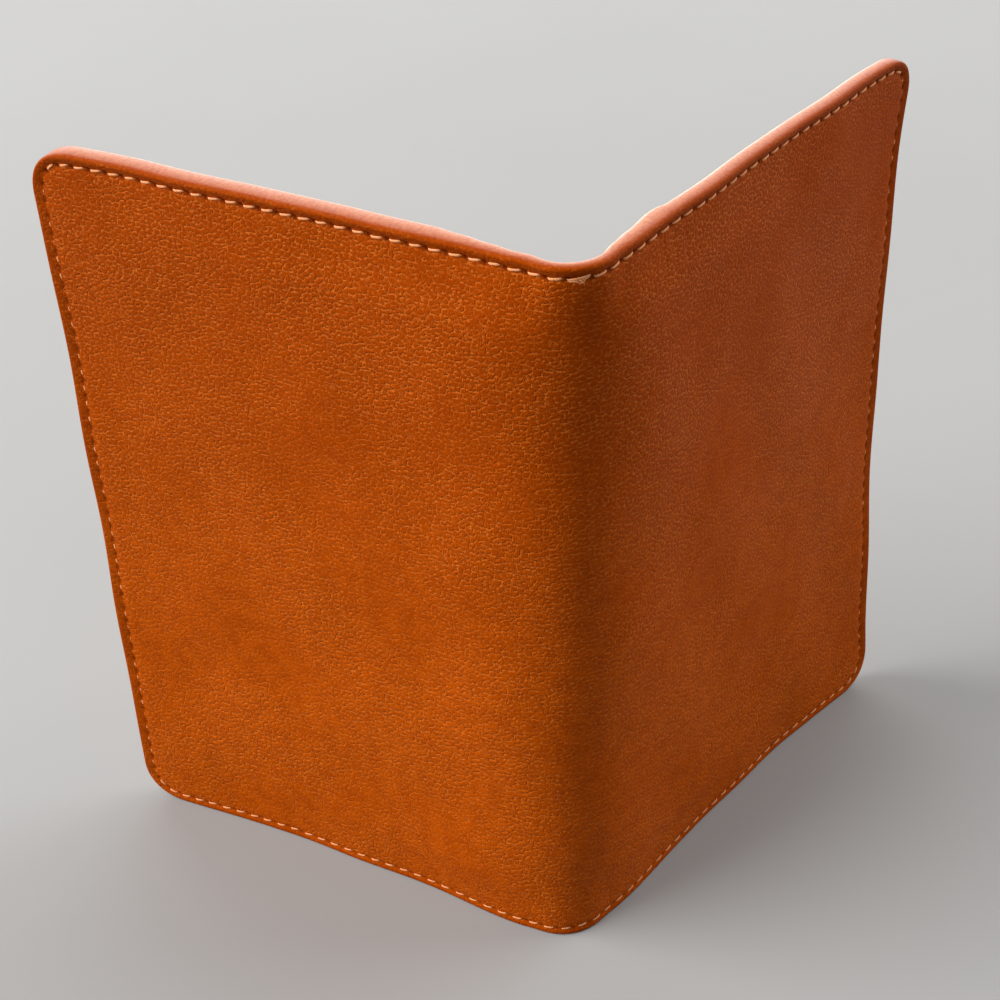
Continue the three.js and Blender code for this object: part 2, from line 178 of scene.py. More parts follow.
def relaxed_bend():
    """The wider bend as a table: distances from the nose, and the plan positions there."""
    s = np.linspace(0.0, EDGE_AT + RELAXED_SPARE, RELAXED_SAMPLES)
    turn = RELAXED_TURN * (1.0 - np.exp(-s / RELAXED_SPAN))
    step = s[1] - s[0]
    x = np.concatenate([[0.0], np.cumsum((np.cos(turn[1:]) + np.cos(turn[:-1])) * step / 2.0)])
    y = np.concatenate([[0.0], np.cumsum((np.sin(turn[1:]) + np.sin(turn[:-1])) * step / 2.0)])
    place = np.stack([x, y + NOSE_Y + COVER_LEATHER / 2.0 + RELAXED_BACK])
    away = np.array([np.interp(EDGE_AT, s, row) for row in place]) - tight(np.array([EDGE_AT]))[:, 0]
    return s, place - away[:, None] * smooth(s / EDGE_AT)


RELAXED_AT, RELAXED_PLACE = relaxed_bend()


def middle(s, z):
    """Plan position of the leather's middle, s along it from the nose of the spine and z up it."""
    x = np.sign(s) * np.interp(np.abs(s), RELAXED_AT, RELAXED_PLACE[0])
    y = np.interp(np.abs(s), RELAXED_AT, RELAXED_PLACE[1])
    foot = 1.0 - FOOT_HOLD * (1.0 - smooth((z - HEM_HOLD) / HEM_RELEASE))
    share = foot * smooth((COVER_HEIGHT - z - HEM_HOLD) / HEM_RELEASE)
    return tight(s) * (1.0 - share) + np.stack([x, y]) * share


def curl(s, z, hand):
    """How far the panel has moved inwards from its plain flat form."""
    c = CURL[hand]
    out = np.clip((s - FOLD_AT) / PANEL_REACH, 0.0, 1.0)
    k = 2.0 * z / COVER_HEIGHT - 1.0
    tip = c["lean"] + c["twist"] * k + c["hollow"] * (1.0 - k * k)
    bow = c["bow"] + c["bow_twist"] * k + c["crown"] * (1.0 - k * k)
    return out * out * tip + 4.0 * out * (1.0 - out) * bow * smooth(4.0 * out)


def handled(s, z, hand):
    """Shallow unevenness left by use, the same on both sides of the nose."""
    x = s * hand
    wave = sum(np.sin(across * x + up * z + phase) for across, up, phase in LONG_WAVES)
    across, up, phase = SHORT_WAVE
    swell, swell_phase = SHORT_WAVE_SWELL
    wave = wave + SHORT_WAVE_SHARE * np.sin(across * x + up * z + phase) * np.sin(swell * z + swell_phase)
    p = PUCKER
    u = x - FOLD_AT - p["at"]
    near = np.exp(-(u ** 2 + (z - COVER_HEIGHT + p["below"]) ** 2) / p["reach"] ** 2)
    return HANDLING * wave + p["rise"] * near * np.sin(math.tau * u / p["pitch"])


def drawn_in(s, z, hand):
    """How far the seam has pulled the free edge back towards the spine near the foot."""
    return DRAWN_IN[hand] * smooth((s - FOLD_AT) / PANEL_REACH) * (1.0 - smooth(z / DRAWN_BELOW))


def to_frame(flat, hand):
    """Flat hide points (s, depth, z) in millimetres, bent into the frame in metres."""
    s, depth, z = flat.T
    s = s - drawn_in(s, z, hand)
    step = middle(s + PROBE, z) - middle(s - PROBE, z)
    step /= np.hypot(step[0], step[1])
    inward = depth - COVER_LEATHER / 2 + curl(s, z, hand) + handled(s, z, hand)
    x, y = middle(s, z)
    place = np.stack([hand * (x - step[1] * inward), y + step[0] * inward, z], axis=1)
    return place * MM


def add_piece(name, flat, faces, hand, material, marks=None, hide=None, flat_faces=0):
    """One piece of the wallet; the last flat_faces faces are shaded flat."""
    if hand == BACK:
        faces = [face[::-1] for face in faces]
    mesh = bpy.data.meshes.new(name)
    mesh.from_pydata(to_frame(flat, hand).tolist(), [], faces)
    mesh.update()
    shaded = np.ones(len(faces), bool)
    if flat_faces:
        shaded[-flat_faces:] = False
    mesh.polygons.foreach_set("use_smooth", shaded)
    # The line where the halves meet stays sharp, so that the end cap doesn't bend the face's shading
    ends = np.array([edge.vertices[:] for edge in mesh.edges])
    sharp = mesh.attributes.new("sharp_edge", "BOOLEAN", "EDGE")
    sharp.data.foreach_set("value", np.all(flat[ends, 0] == 0.0, axis=1))
    laid = flat[:, [0, 2, 1]].copy() if hide is None else hide.copy()
    laid[:, 0] *= hand
    coords = mesh.attributes.new("hide_coords", "FLOAT_VECTOR", "POINT")
    coords.data.foreach_set("vector", laid.astype(np.float32).ravel())
    for key, values in (marks or {}).items():
        mark = mesh.attributes.new(key, "FLOAT", "POINT")
        mark.data.foreach_set("value", values.astype(np.float32))
    mesh.materials.append(material)
    piece = bpy.data.objects.new(name, mesh)
    bpy.context.scene.collection.objects.link(piece)
    span = np.array([[FOLD_AT - BLEND_BEFORE, 0.0, 0.0], [FOLD_AT + BLEND_AFTER, 0.0, 0.0]])
    start, end = to_frame(span, hand)
    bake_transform(piece)
    return piece


# Materials, with the places of a colour mix node's sockets
MIX_SHARE, MIX_A, MIX_B, MIX_RESULT = 0, 6, 7, 2
WARP_DETAIL, WARP_CENTRE = 2.0, (0.5, 0.5, 0.5)


class Nodes:
    """A material's nodes, joined as they are made."""

    def __init__(self, name):
        self.material = bpy.data.materials.new(name)
        self.material.use_nodes = True
        self.tree = self.material.node_tree
        self.tree.nodes.clear()
        self.shader = self.tree.nodes.new("ShaderNodeBsdfPrincipled")
        output = self.tree.nodes.new("ShaderNodeOutputMaterial")
        self.tree.links.new(self.shader.outputs["BSDF"], output.inputs["Surface"])

    def put(self, socket, value):
        if isinstance(value, bpy.types.NodeSocket):
            self.tree.links.new(value, socket)
        else:
            socket.default_value = value

    def add(self, kind, inputs=None, **settings):
        node = self.tree.nodes.new("ShaderNode" + kind)
        for key, value in settings.items():
            setattr(node, key, value)
        for key, value in (inputs or {}).items():
            self.put(node.inputs[key], value)
        return node

    def mark(self, name):
        return self.add("Attribute", attribute_name=name)

    def math(self, operation, a, b=0.0):
        node = self.add("Math", operation=operation)
        self.put(node.inputs[0], a)
        self.put(node.inputs[1], b)
        return node.outputs[0]

    def vector(self, operation, a, b):
        node = self.add("VectorMath", operation=operation)
        self.put(node.inputs[0], a)
        self.put(node.inputs[1], b)
        return node.outputs[0]

    def spread(self, value, low, high, to_low=0.0, to_high=1.0):
        node = self.add("MapRange", interpolation_type="SMOOTHSTEP")
        self.put(node.inputs["Value"], value)
        self.put(node.inputs["From Min"], low)
        self.put(node.inputs["From Max"], high)
        self.put(node.inputs["To Min"], to_low)
        self.put(node.inputs["To Max"], to_high)
        return node.outputs["Result"]

    def mix(self, share, a, b):
        node = self.add("Mix", data_type="RGBA")
        self.put(node.inputs[MIX_SHARE], share)
        self.put(node.inputs[MIX_A], a)
        self.put(node.inputs[MIX_B], b)
        return node.outputs[MIX_RESULT]

    def noise(self, vector, scale, detail=3.0, rough=0.55):
        node = self.add("TexNoise", {"Vector": vector, "Scale": scale, "Detail": detail, "Roughness": rough})
        return node.outputs

    def cells(self, vector, scale):
        inputs = {"Vector": vector, "Scale": scale, "Randomness": 1.0}
        node = self.add("TexVoronoi", inputs, voronoi_dimensions="2D", feature="DISTANCE_TO_EDGE")
        return node.outputs["Distance"]

    def warp(self, vector, amount, scale):
        color = self.noise(vector, scale, WARP_DETAIL)["Color"]
        aside = self.vector("SUBTRACT", color, WARP_CENTRE)
        return self.vector("ADD", vector, self.vector("MULTIPLY", aside, (amount, amount, 0.0)))

    def fix(self, constants):
        for key, value in constants.items():
            self.shader.inputs[key].default_value = value

    def bump(self, height, distance, strength=1.0):
        node = self.add("Bump", {"Height": height, "Distance": distance, "Strength": strength})
        self.tree.links.new(node.outputs["Normal"], self.shader.inputs["Normal"])


def srgb(red, green, blue):
    """A colour as it is seen on a screen, 0 to 255, as Blender's linear colour."""
    linear = []
    for value in (red, green, blue):
        value /= 255.0
        linear.append(value / 12.92 if value <= 0.04045 else ((value + 0.055) / 1.055) ** 2.4)
    return (*linear, 1.0)


# Leather, in millimetres of hide. A ramp is where it starts and ends on a value, and what it gives there
COARSE_WARP, COARSE_WARP_SCALE = 0.68, 0.6
FINE_WARP, FINE_WARP_SCALE = 0.34, 2.8
GRAIN_ACROSS, GRAIN_UP, GRAIN_UP_GAIN = 0.82, 0.64, 0.0012
LINE_OFFSET = 0.15
SPECK_SCALE, MOTTLE_SCALE, PATCH_SCALE, BREAK_SCALE = 2.5, 0.3, 0.035, 1.2
STREAK_SCALE, STREAK_ACROSS = 1.3, 5.0
CREASE_SHADE_SHARE, CREASE_SHARE, HOLE_SHADE_SHARE = 0.4, 0.5, 0.92
SMOOTHER, ROUGHER = 0.04, 0.06
CREST_COAT, CREST_COAT_ROUGHNESS = 0.7, 0.28
HIDE_GLOSS, HIDE_GLOSS_TINT = 0.04, (1.0, 0.5, 0.22, 1.0)
SPECK_RISE, HIDE_RELIEF = 0.8, 0.17
HOLE_SHADE_COLOUR = srgb(64, 10, 4)
RAMP = {
    "bare": (0.05, 0.6, 1.0, 0.25), "crest": (0.45, 1.0, 0.0, 1.0), "top": (0.9, 1.0, 0.0, 1.0),
    "level": (0.03, 0.34, 1.0, 0.0), "crossing": (0.0, 0.2, 0.75, 0.0), "beside": (0.0, 0.48, 1.0, 0.0),
    "shown": (0.42, 0.66, 1.0, 0.45), "broken": (0.4, 0.6, 0.1, 1.0),
    "painted_top_shade": (30.0, 145.0, 0.0, 0.6), "painted_foot_shade": (0.0, 2.6, 0.6, 0.0),
    "patch": (0.3, 0.7, 0.0, 0.2), "mottle": (0.35, 0.65, 0.4, 0.0), "speck": (0.35, 0.7, 0.45, 0.0),
    "soiled": (0.3, 0.7, 0.0, 0.6), "rubbed_and_highlight": (0.3, 0.7, 0.75, 0.3), "painted_rim_highlight": (0.3, 0.6, 0.8, 0.4),
}


def grain_lines(n, coords, grain):
    """Distance from the nearest crease of the grain, and the creases, widest where they run level, as light
    from above catches level creases.
    """
    laid = n.warp(coords, COARSE_WARP * grain, COARSE_WARP_SCALE / grain)
    laid = n.warp(laid, FINE_WARP * grain, FINE_WARP_SCALE / grain)
    across, up, _ = n.add("SeparateXYZ", {"Vector": laid}).outputs
    closer = n.math("ADD", GRAIN_UP, n.math("MULTIPLY", up, GRAIN_UP_GAIN))
    across = n.math("MULTIPLY", across, GRAIN_ACROSS)
    wide = n.add("CombineXYZ", {"X": across, "Y": n.math("MULTIPLY", up, closer)}).outputs[0]
    edge = n.cells(wide, 1.0 / grain)
    before = n.cells(n.vector("ADD", wide, (-LINE_OFFSET * grain, 0.0, 0.0)), 1.0 / grain)
    after = n.cells(n.vector("ADD", wide, (LINE_OFFSET * grain, 0.0, 0.0)), 1.0 / grain)
    level = n.spread(n.math("MAXIMUM", before, after), *RAMP["level"])
    crossing = n.spread(edge, *RAMP["crossing"])
    return edge, n.math("MAXIMUM", level, crossing)


def leather(name, pebble, crease, dark, worn_and_highlight, pale, grain, roughness):
    """Pebbled hide: small rounded grains in millimetres, parted by a network of thin pale creases."""
    n = Nodes(name)
    coords = n.mark("hide_coords").outputs["Vector"]
    rim = n.mark("rim").outputs["Fac"]
    bare = n.spread(rim, *RAMP["bare"])
    turned = n.math("SUBTRACT", 1.0, bare)
    crest = n.spread(rim, *RAMP["crest"])
    edge, lines = grain_lines(n, coords, grain)

    speck = n.noise(coords, SPECK_SCALE / grain, detail=3.0, rough=0.6)["Fac"]
    mottle = n.noise(coords, MOTTLE_SCALE, detail=4.0, rough=0.6)["Fac"]
    patch = n.noise(coords, PATCH_SCALE, detail=4.0)["Fac"]
    breaks = n.noise(coords, BREAK_SCALE / grain, detail=2.0)["Fac"]
    shown = n.math("MULTIPLY", bare, n.spread(patch, *RAMP["shown"]))
    shown = n.math("MULTIPLY", shown, n.spread(breaks, *RAMP["broken"]))
    parted = n.math("MULTIPLY", lines, shown)
    beside = n.math("MULTIPLY", n.spread(edge, *RAMP["beside"]), shown)

    above_foot = n.add("SeparateXYZ", {"Vector": coords}).outputs[1]
    # Painted shade: the hide grows darker towards the top of the cover, where less light falls
    color = n.mix(n.spread(above_foot, *RAMP["painted_top_shade"]), pebble, dark)
    color = n.mix(n.spread(patch, *RAMP["patch"]), color, dark)
    color = n.mix(n.spread(mottle, *RAMP["mottle"]), color, dark)
    color = n.mix(n.spread(speck, *RAMP["speck"]), color, dark)
    # Painted shade beside each crease
    color = n.mix(n.math("MULTIPLY", beside, CREASE_SHADE_SHARE), color, dark)
    # Pale creases: partly the grain's own colour, partly painted highlight on the level creases
    color = n.mix(n.math("MULTIPLY", parted, CREASE_SHARE), color, crease)

    across_rim = n.math("MULTIPLY", rim, STREAK_ACROSS)
    along = n.add("CombineXYZ", {"X": n.mark("along").outputs["Fac"], "Y": across_rim}).outputs[0]
    streak = n.noise(along, STREAK_SCALE, detail=4.0, rough=0.65)["Fac"]
    soiled = n.math("MULTIPLY", turned, n.spread(streak, *RAMP["soiled"]))
    # Painted shade along the foot, taken together with the dirt streaked along the turned rim
    painted_foot_shade = n.spread(above_foot, *RAMP["painted_foot_shade"])
    color = n.mix(n.math("MAXIMUM", soiled, painted_foot_shade), color, dark)
    # The rim's crest takes the worn colour: rubbed wear, and also a painted highlight of the light on the
    # crest
    color = n.mix(n.math("MULTIPLY", crest, n.spread(streak, *RAMP["rubbed_and_highlight"])), color, worn_and_highlight)
    # Painted highlight: a pale line along the back of the rim's crest, broken by streaks
    painted_rim_highlight = n.math("MULTIPLY", n.spread(rim, *RAMP["top"]), n.spread(streak, *RAMP["painted_rim_highlight"]))
    color = n.mix(painted_rim_highlight, color, pale)
    # Painted shade in the needle holes
    hole_shade = n.math("MULTIPLY", n.mark("hole").outputs["Fac"], HOLE_SHADE_SHARE)
    n.put(n.shader.inputs["Base Color"], n.mix(hole_shade, color, HOLE_SHADE_COLOUR))

    low, high, _, _ = RAMP["patch"]
    rough = n.spread(patch, low, high, roughness - SMOOTHER, roughness + ROUGHER)
    n.put(n.shader.inputs["Roughness"], rough)
    n.put(n.shader.inputs["Coat Weight"], n.math("MULTIPLY", crest, CREST_COAT))
    n.fix({"Specular IOR Level": HIDE_GLOSS, "Specular Tint": HIDE_GLOSS_TINT})
    n.fix({"Coat Roughness": CREST_COAT_ROUGHNESS})

    ridges = n.math("MULTIPLY", streak, turned)
    height = n.math("SUBTRACT", n.math("ADD", n.math("MULTIPLY", speck, SPECK_RISE), ridges), parted)
    n.bump(height, HIDE_RELIEF * MM)
    return n.material


# Thread, cloth, board and floor
PLY_SLOPE, PLY_TURN, PLY_SHADE = 2.0, 7.0, 0.5
PLY_RAMP, THREAD_SOIL_RAMP = (-1.0, 0.3), (0.4, 0.75, 0.0, 0.35)
FUZZ_RISE, THREAD_RELIEF = 0.4, 0.02
CLOTH_THREAD = 0.4
OVER_RAMP, SLUB_RAMP, CLOTH_RELIEF = (-0.6, 0.6), (0.35, 0.75, 0.0, 0.5), 0.06
FIBRE_DRAWN, FIBRE_RAMP, BOARD_RELIEF = (1.0, 0.25, 1.0), (0.35, 0.65), 0.08
FLOOR_PALE, FLOOR_PALER, FLOOR_DIM = srgb(150, 149, 147), srgb(156, 155, 153), srgb(102, 96, 90)


def thread(name, light, dark):
    """Twisted waxed thread, pale on its crown and darker between the plies."""
    n = Nodes(name)
    coords = n.mark("hide_coords").outputs["Vector"]
    axis = n.add("SeparateXYZ", {"Vector": coords})
    lay = n.math("ADD", n.math("MULTIPLY", axis.outputs[0], PLY_SLOPE), axis.outputs[1])
    twist = n.math("SINE", n.math("MULTIPLY", lay, PLY_TURN))
    ply = n.spread(twist, *PLY_RAMP)
    soil = n.spread(n.noise(coords, scale=0.7, detail=3.0)["Fac"], *THREAD_SOIL_RAMP)
    color = n.mix(n.math("MULTIPLY", ply, PLY_SHADE), light, dark)
    n.put(n.shader.inputs["Base Color"], n.mix(soil, color, dark))
    n.fix({"Roughness": 0.62, "Specular IOR Level": 0.3})
    fuzz = n.noise(coords, scale=9.0, detail=2.0)["Fac"]
    n.bump(n.math("ADD", ply, n.math("MULTIPLY", fuzz, FUZZ_RISE)), THREAD_RELIEF * MM, strength=0.6)
    return n.material


def weave(name, warp, weft):
    """Plain woven lining, a thread every 0.4 mm each way."""
    n = Nodes(name)
    coords = n.mark("hide_coords").outputs["Vector"]
    axis = n.add("SeparateXYZ", {"Vector": coords})
    turn = math.tau / (2.0 * CLOTH_THREAD)
    across = n.math("SINE", n.math("MULTIPLY", axis.outputs[0], turn))
    along = n.math("SINE", n.math("MULTIPLY", axis.outputs[1], turn))
    over = n.math("MULTIPLY", across, along)
    slub = n.noise(coords, scale=0.4, detail=4.0)["Fac"]
    color = n.mix(n.spread(over, *OVER_RAMP), weft, warp)
    n.put(n.shader.inputs["Base Color"], n.mix(n.spread(slub, *SLUB_RAMP), color, weft))
    n.fix({"Roughness": 0.85, "Sheen Weight": 0.25})
    n.bump(n.math("ADD", n.math("ABSOLUTE", over), slub), CLOTH_RELIEF * MM, strength=0.7)
    return n.material


def pressed_board(name, light, dark):
    """Grey pressed board with loose fibres."""
    n = Nodes(name)
    coords = n.mark("hide_coords").outputs["Vector"]
    drawn = n.vector("MULTIPLY", coords, FIBRE_DRAWN)
    fibre = n.noise(drawn, scale=2.2, detail=6.0, rough=0.7)["Fac"]
    n.put(n.shader.inputs["Base Color"], n.mix(n.spread(fibre, *FIBRE_RAMP), dark, light))
    n.fix({"Roughness": 0.9})
    n.bump(fibre, BOARD_RELIEF * MM, strength=0.6)
    return n.material


def pale_floor(name):
    """Pale to the eye and in reflections, but dim in the light that it throws back on the wallet."""
    n = Nodes(name)
    place = n.add("TexCoord").outputs["Object"]
    cloud = n.noise(place, scale=6.0, detail=4.0)["Fac"]
    pale = n.mix(cloud, FLOOR_PALE, FLOOR_PALER)
    ray = n.add("LightPath").outputs
    seen = n.math("MAXIMUM", ray["Is Camera Ray"], ray["Is Glossy Ray"])
    seen = n.math("MAXIMUM", seen, ray["Is Transmission Ray"])
    n.put(n.shader.inputs["Base Color"], n.mix(seen, FLOOR_DIM, pale))
    n.fix({"Roughness": 0.8, "Specular IOR Level": 0.2})
    return n.material


OUTER_LEATHER = leather(
    "outer_leather", pebble=srgb(201, 88, 0), crease=srgb(239, 130, 48), dark=srgb(138, 48, 0),
    worn_and_highlight=srgb(220, 138, 88), pale=srgb(240, 212, 186), grain=0.86, roughness=0.48,
)
INNER_LEATHER = leather(
    "inner_leather", pebble=srgb(186, 98, 34), crease=srgb(200, 118, 56), dark=srgb(160, 78, 22),
    worn_and_highlight=srgb(206, 130, 74), pale=srgb(214, 146, 92), grain=1.05, roughness=0.5,
)
SEAM_THREAD = thread("seam_thread", srgb(245, 172, 116), srgb(206, 122, 74))
LINING_CLOTH = weave("lining_cloth", srgb(146, 92, 54), srgb(112, 66, 36))
STIFF_BOARD = pressed_board("stiff_board", srgb(176, 168, 154), srgb(138, 130, 116))


# The path that the rim and stitches follow, from the nose along the foot, up the free edge and back
RUN = EDGE_AT - CORNER_RADIUS
SIDE = COVER_HEIGHT - 2.0 * CORNER_RADIUS
COLUMNS = np.concatenate([[0.0, NOSE_CELL], np.arange(1, RUN_CELLS + 1) * RUN / RUN_CELLS])
HEIGHTS = CORNER_RADIUS + np.arange(SIDE_CELLS + 1) * SIDE / SIDE_CELLS
PATH_CELLS = 2 * RUN_CELLS + 2 * CORNER_CELLS + SIDE_CELLS


def on_path(cell, inset):
    """Flat position of a point so many cells along the path, and so far in from the cover's edge."""
    turn_1 = RUN_CELLS
    side_1 = turn_1 + CORNER_CELLS
    side_2 = side_1 + SIDE_CELLS
    turn_2 = side_2 + CORNER_CELLS
    marks = [0, turn_1, side_1, side_2, turn_2, PATH_CELLS]
    s = np.interp(cell, marks, [0.0, RUN, RUN, RUN, RUN, 0.0])
    top = COVER_HEIGHT - CORNER_RADIUS
    z = np.interp(cell, marks, [CORNER_RADIUS, CORNER_RADIUS, CORNER_RADIUS, top, top, top])
    way = np.interp(cell, marks, [-90.0, -90.0, 0.0, 0.0, 90.0, 90.0])
    reach = CORNER_RADIUS - inset
    across, up = np.cos(np.radians(way)), np.sin(np.radians(way))
    reach = reach * (np.abs(across) ** CORNER_POWER + np.abs(up) ** CORNER_POWER) ** (-1.0 / CORNER_POWER)
    return s + reach * across, z + reach * up


def seam_inset(cell):
    """The seam's distance in from the edge; it turns each corner more tightly than the edge does."""
    from_side = np.clip((cell - RUN_CELLS) / CORNER_CELLS, 0.0, 1.0)
    to_side = np.clip((PATH_CELLS - RUN_CELLS - cell) / CORNER_CELLS, 0.0, 1.0)
    way = math.pi / 2.0 * (1.0 - np.minimum(from_side, to_side))
    run_inset = np.where(cell < PATH_CELLS / 2.0, STITCH_FOOT_INSET, STITCH_INSET)
    over_run = np.sin(way) / (CORNER_RADIUS - run_inset)
    over_end = np.cos(way) / (CORNER_RADIUS - STITCH_END_INSET)
    power = SEAM_CORNER_POWER
    return CORNER_RADIUS - (over_run ** power + over_end ** power) ** (-1.0 / power)


def by_edge(cell, values):
    """A value that changes from the foot, by the free edge, to the head."""
    foot, side, head = values["foot"], values["side"], values["head"]
    turn_1, turn_2 = RUN_CELLS, PATH_CELLS - RUN_CELLS
    marks = [turn_1, turn_1 + CORNER_CELLS, turn_2 - CORNER_CELLS, turn_2]
    return np.interp(cell, marks, [foot, side, side, head])


def rim_depth(s, hand):
    """Thickness of the turned rim: it climbs onto each pocket that the hem is sewn over."""
    u = s - FOLD_AT
    depth = SPINE_RIM + (FOLD_RIM - SPINE_RIM) * smooth((u + FOLD_RIM_LEAD) / FOLD_RIM_SPAN)
    level = FOLD_RIM
    for sewn in POCKETS.values():
        if sewn["hand"] == hand:
            top = sewn["level"] + sewn["thickness"] + GLUE_LINE + HEM_LEATHER
            start = sewn["mouth"] - HEM_LEAD - HEM_CLIMB
            depth = depth + (top - level) * smooth((u - start) / HEM_CLIMB)
            level = top
    if hand == FRONT:
        t = TURNED_MOUTH
        swell = smooth((u - t["from"]) / (t["full"] - t["from"]))
        depth = depth + t["rise"] * swell * (1.0 - smooth((u - t["to"]) / (t["gone"] - t["to"])))
    return depth


# Profiles of the turned edge. Face and hem: inset, depth, and share of a needle hole (sunk, and painted with
# shade), with the grooves measured from the seam. Flank: share of the way from the groove to the crest,
# depth. Rim: inset, depth, wear, and for its face the wear on the free edge; this wear mark gives both
# rubbed wear and the rim's
# painted highlight. Cavity: inset, depth
FACE_PROFILE = [(9.0, 0.0, 0.0), (7.6, -0.01, 0.0), (6.6, -0.03, 0.0)]
FACE_GROOVE = [
    (2.2, -0.04, 0.0), (1.5, -0.05, 0.0), (0.95, -0.03, 0.0), (0.6, 0.02, 0.15), (0.3, 0.1, 0.8),
    (0.0, 0.16, 1.0), (-0.26, 0.1, 0.75),
]
FLANK = [(0.3, 0.0), (0.65, -0.2), (1.0, -0.36)]
FLANK_MARK = 0.35
RIM_FACE = [
    (0.6, -0.44, 0.36, 0.36), (0.38, -0.42, 0.4, 0.55), (0.2, -0.28, 0.45, 0.95), (0.08, 0.0, 0.52, 1.0),
    (0.02, 0.5, 0.65, 0.85),
]
RIM_BACK = [
    (0.03, -0.9, 0.91), (0.13, -0.5, 0.98), (0.3, -0.22, 1.0), (0.55, -0.06, 0.95), (0.85, 0.0, 0.36),
]
RIM_MIDDLE_WEAR = 0.8
WORN_FROM, FACE_WORN_SPAN, HEM_WORN_SPAN = 0.1, 0.3, 0.9
FULL_RIM = 2.9
CREST_INSET = 0.85
UNDER_STEP = 7

# How strongly each edge is rolled, worn, grooved and pierced. The wear also paints the rim's highlight,
# most on the head, and a hole is sunk and painted with shade
ROLL = {"foot": 0.4, "side": 0.55, "head": 1.0}
WEAR_AND_HIGHLIGHT = {"foot": 0.45, "side": 0.72, "head": 1.0}
GROOVE = {"foot": 0.6, "side": 0.35, "head": 0.7}
FREE_EDGE = {"foot": 0.0, "side": 1.0, "head": 0.0}
HOLE_SHARE = {"foot": 0.45, "side": 0.55, "head": 1.0}
BESIDE_HOLE = 0.25

# Profiles of the hem inside, and of the cavity behind it
HEM_GROOVE = [
    (-0.65, 0.02, 0.0), (-0.5, -0.03, 0.02), (-0.28, -0.11, 0.3), (0.0, -0.15, 1.0), (0.28, -0.11, 0.3),
    (0.6, -0.03, 0.02), (1.2, 0.02, 0.0), (2.2, 0.02, 0.0),
]
HEM_PROFILE = [
    (6.8, 0.0, 0.0), (7.6, -0.03, 0.0), (7.93, -0.14, 0.0), (8.04, -0.35, 0.0), (7.93, -0.56, 0.0),
    (7.6, -0.7, 0.0), (5.0, -0.7, 0.0), (2.2, -0.7, 0.0), (1.3, -0.75, 0.0),
]
CAVITY_PROFILE = [(1.3, 0.96), (2.2, 0.9), (5.0, 0.9), (9.0, 0.9)]


def edge_profile(cell, s, hand):
    """Inset, depth, needle hole and rim marks of the turned edge at every station of the path."""
    depth = rim_depth(s, hand)[:, None]
    seam = seam_inset(cell)[:, None]
    hole = (np.abs(cell % CELLS_PER_STITCH) < HAIR).astype(float)[:, None]
    upright = (cell > RUN_CELLS + CORNER_CELLS) & (cell < PATH_CELLS - RUN_CELLS - CORNER_CELLS)
    beside = (np.abs(cell % 2.0 - 1.0) < HAIR) & upright
    hole = np.maximum(hole, BESIDE_HOLE * beside[:, None]) * by_edge(cell, HOLE_SHARE)[:, None]
    ones = np.ones_like(depth)
    face, face_groove = np.array(FACE_PROFILE), np.array(FACE_GROOVE)
    flank, rim_face, rim_back = np.array(FLANK), np.array(RIM_FACE), np.array(RIM_BACK)
    hem, hem_groove, cavity = np.array(HEM_PROFILE), np.array(HEM_GROOVE), np.array(CAVITY_PROFILE)
    lip = seam + face_groove[-1, 0]
    roll, wear_and_highlight = by_edge(cell, ROLL)[:, None], by_edge(cell, WEAR_AND_HIGHLIGHT)[:, None]
    groove, free = by_edge(cell, GROOVE)[:, None], by_edge(cell, FREE_EDGE)[:, None]

    def rolled(depths):
        return np.where(depths < 0.0, roll * depths, ones * depths)

    def sunk(depths):
        return np.where(depths > 0.0, groove * depths, ones * depths)

    def worn_and_highlight(column):
        return np.concatenate([
            np.zeros(len(face)), FLANK_MARK * smooth((WORN_FROM - face_groove[:, 0]) / FACE_WORN_SPAN),
            np.full(len(flank), FLANK_MARK), rim_face[:, column], [RIM_MIDDLE_WEAR], rim_back[:, 2],
            FLANK_MARK * smooth((WORN_FROM - hem_groove[:, 0]) / HEM_WORN_SPAN),
            np.zeros(len(hem) + len(cavity)),
        ])

    inset = np.hstack([
        ones * face[:, 0], seam + face_groove[:, 0], lip + (CREST_INSET - lip) * flank[:, 0],
        ones * rim_face[:, 0], 0.0 * ones, ones * rim_back[:, 0],
        seam + hem_groove[:, 0], ones * hem[:, 0], ones * cavity[:, 0],
    ])
    level = np.hstack([
        ones * face[:, 1], sunk(face_groove[:, 1]) + HOLE_DEPTH * hole * face_groove[:, 2],
        rolled(flank[:, 1]), rolled(rim_face[:, 1]), depth / 2.0,
        depth + np.minimum(depth / FULL_RIM, 1.0) * rim_back[:, 1],
        depth + hem_groove[:, 1] - HOLE_DEPTH * hole * hem_groove[:, 2], depth + hem[:, 1],
        ones * cavity[:, 1],
    ])
    rim_points = len(flank) + len(rim_face) + 1 + len(rim_back)
    holes = np.hstack([
        hole * face[:, 2], hole * face_groove[:, 2], np.zeros((len(cell), rim_points)),
        hole * hem_groove[:, 2], hole * hem[:, 2], np.zeros((len(cell), len(cavity))),
    ])
    rim = worn_and_highlight(2) * (1.0 - free) + worn_and_highlight(3) * free
    return inset, level, holes, np.where(rim > FLANK_MARK, FLANK_MARK + wear_and_highlight * (rim - FLANK_MARK), rim)


